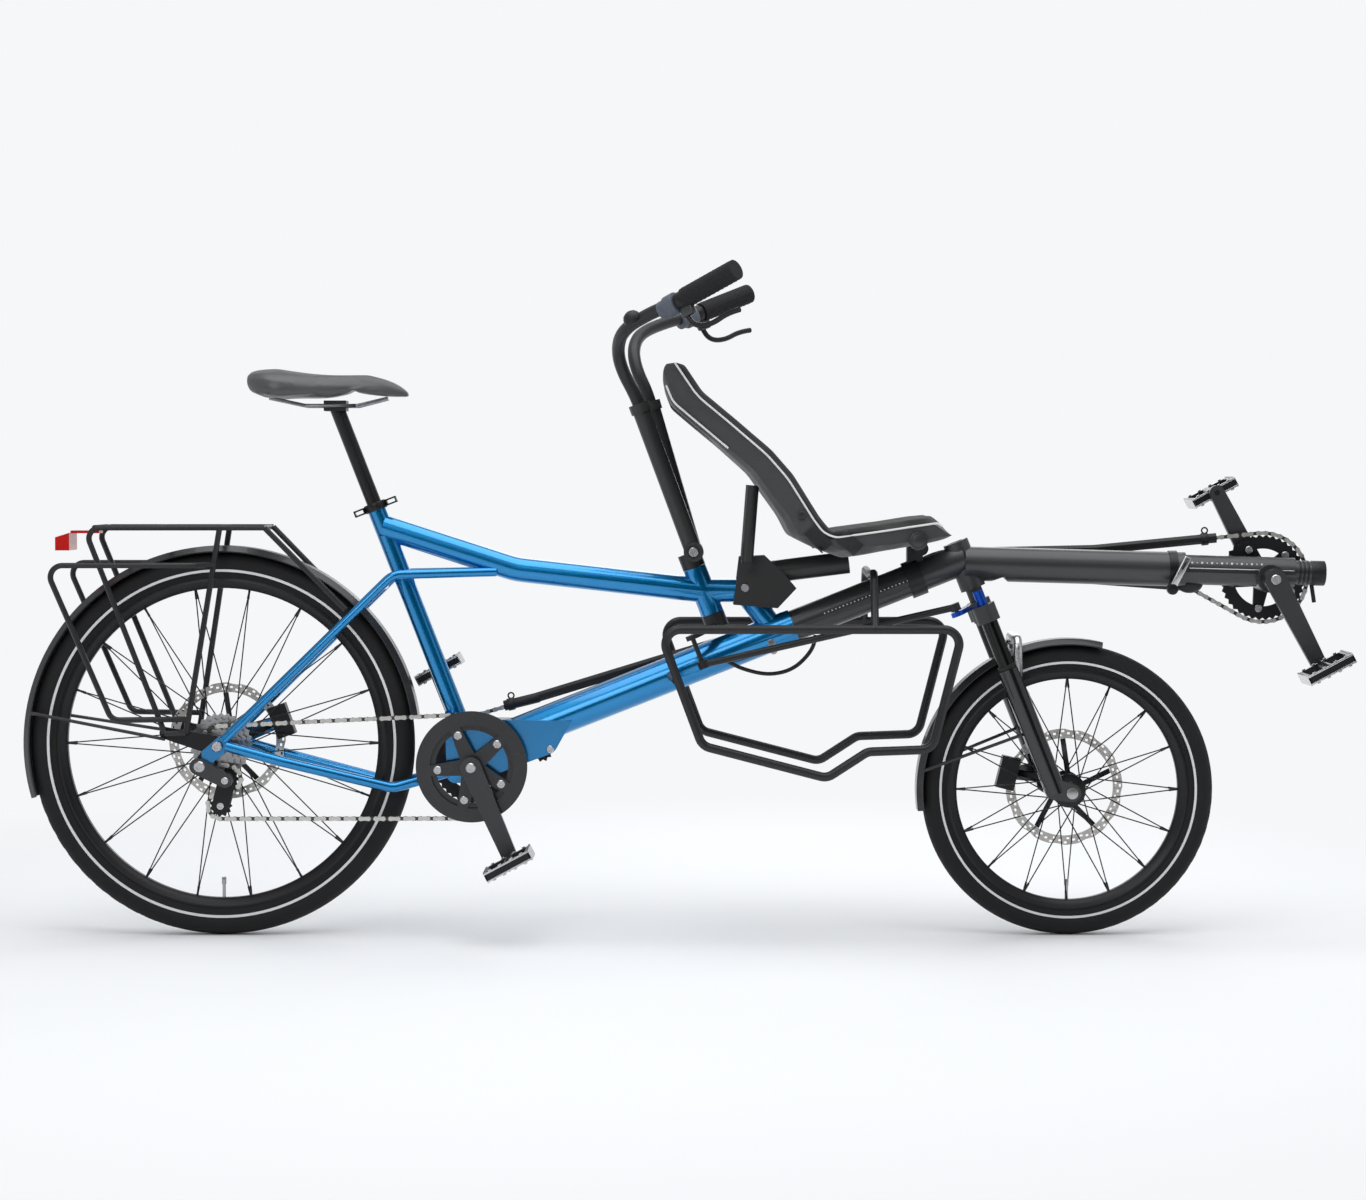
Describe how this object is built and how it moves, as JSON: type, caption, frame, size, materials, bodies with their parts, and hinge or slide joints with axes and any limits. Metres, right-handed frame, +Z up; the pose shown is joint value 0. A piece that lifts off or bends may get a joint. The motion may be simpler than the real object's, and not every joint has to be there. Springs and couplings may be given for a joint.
{
  "type": "semi-recumbent tandem bicycle",
  "caption": "Semi-recumbent tandem bicycle: saddle and tall handlebar behind, reclined seat in front, linked steering to a sprung fork, rear rack and low side rails.",
  "frame": {"origin": "middle of the rear saddle's top, where a rider sits and holds the bicycle upright", "axes": "+X forwards along the bicycle, +Y to the riders' left, +Z up"},
  "size_m": [2.2495, 0.6082, 1.1377],
  "materials": {
    "frame_blue": "glossy metallic paint",
    "frame_black": "satin paint",
    "fork_black": "satin paint",
    "fork_grey": "satin paint",
    "steel": "brushed",
    "chain_steel": "oiled",
    "alloy_black": "anodised",
    "alloy_silver": "satin",
    "tyre": "worn rubber",
    "grip_rubber": "ribbed",
    "plastic_black": "moulded",
    "lamp_red": "clear moulded",
    "seat_fabric": "woven mesh",
    "saddle_cover": "smooth grain"
  },
  "bodies": {
    "frame": {"main_frame": "frame_blue", "front_frame": "frame_black", "boom": "frame_black", "boom_clamp": "alloy_silver", "rear_caliper": "alloy_black", "rear_mudguard": "plastic_black", "derailleur": "alloy_black", "chain_idler": "plastic_black", "drive_chain": "chain_steel", "timing_chain": "chain_steel", "chain_tubes": "plastic_black", "control_cable": "plastic_black", "rear_rack": "frame_black", "rear_lamp": "lamp_red", "lowriders": "frame_black", "captain_saddle": "saddle_cover", "seatpost": "alloy_black", "seat_cushion": "seat_fabric", "seat_frame": "frame_black", "seat_clamp": "frame_black"},
    "rear_wheel": {"rear_tyre": "tyre", "rear_rim": "alloy_black", "rear_hub_and_spokes": "steel", "rear_rotor": "steel", "cassette": "steel"},
    "handlebar": {"steering_column": "frame_black", "handlebar_risers": "frame_black", "handlebars": "frame_black", "grips": "grip_rubber", "brake_levers": "alloy_black"},
    "tie_rod": {"tie_rod": "frame_black"},
    "fork": {"fork_crown": "fork_grey", "fork_legs": "fork_black", "front_caliper": "alloy_black", "front_mudguard": "plastic_black"},
    "front_wheel": {"front_tyre": "tyre", "front_rim": "alloy_black", "front_hub_and_spokes": "steel", "front_rotor": "steel"},
    "rear_crank": {"rear_crankset": "alloy_black"},
    "front_crank": {"front_crankset": "alloy_black"},
    "pedal_rear_right": {"rear_pedal_right": "alloy_black"},
    "pedal_rear_left": {"rear_pedal_left": "alloy_black"},
    "pedal_front_right": {"front_pedal_right": "alloy_black"},
    "pedal_front_left": {"front_pedal_left": "alloy_black"}
  },
  "joints": [
    {"name": "rear_wheel_spin", "type": "hinge", "parent": "frame", "child": "rear_wheel", "pos_m": [-0.175, 0, -0.6285], "axis": [0, 1, 0], "continuous": true},
    {"name": "handlebar_steer", "type": "hinge", "parent": "frame", "child": "handlebar", "pos_m": [0.65, 0, -0.3665], "axis": [-0.3665, 0, 0.9304], "range_deg": [-30, 30]},
    {"name": "fork_steer", "type": "hinge", "parent": "frame", "child": "fork", "pos_m": [1.25267, 0, -0.7168], "axis": [-0.3665, 0, 0.9304], "range_deg": [-30, 30]},
    {"name": "tie_rod_swing", "type": "hinge", "parent": "handlebar", "child": "tie_rod", "pos_m": [0.64898, -0.078, -0.48943], "axis": [-0.3665, 0, 0.9304], "range_deg": [-30, 30]},
    {"name": "front_wheel_spin", "type": "hinge", "parent": "fork", "child": "front_wheel", "pos_m": [1.275, 0, -0.708], "axis": [0, 1, 0], "continuous": true},
    {"name": "rear_crank_spin", "type": "hinge", "parent": "frame", "child": "rear_crank", "pos_m": [0.255, 0, -0.665], "axis": [0, 1, 0], "continuous": true},
    {"name": "front_crank_spin", "type": "hinge", "parent": "frame", "child": "front_crank", "pos_m": [1.618, 0, -0.3455], "axis": [0, 1, 0], "continuous": true},
    {"name": "pedal_rear_right_spin", "type": "hinge", "parent": "rear_crank", "child": "pedal_rear_right", "pos_m": [0.32279, -0.1325, -0.8209], "axis": [0, 1, 0], "continuous": true},
    {"name": "pedal_rear_left_spin", "type": "hinge", "parent": "rear_crank", "child": "pedal_rear_left", "pos_m": [0.18721, 0.1325, -0.5091], "axis": [0, 1, 0], "continuous": true},
    {"name": "pedal_front_right_spin", "type": "hinge", "parent": "front_crank", "child": "pedal_front_right", "pos_m": [1.69419, -0.1325, -0.49186], "axis": [0, 1, 0], "continuous": true},
    {"name": "pedal_front_left_spin", "type": "hinge", "parent": "front_crank", "child": "pedal_front_left", "pos_m": [1.54181, 0.1325, -0.19914], "axis": [0, 1, 0], "continuous": true}
  ],
  "couplings": [
    {"joint": "fork_steer", "follows": "handlebar_steer", "ratio": 1},
    {"joint": "tie_rod_swing", "follows": "handlebar_steer", "ratio": -1},
    {"joint": "front_crank_spin", "follows": "rear_crank_spin", "ratio": 1}
  ]
}
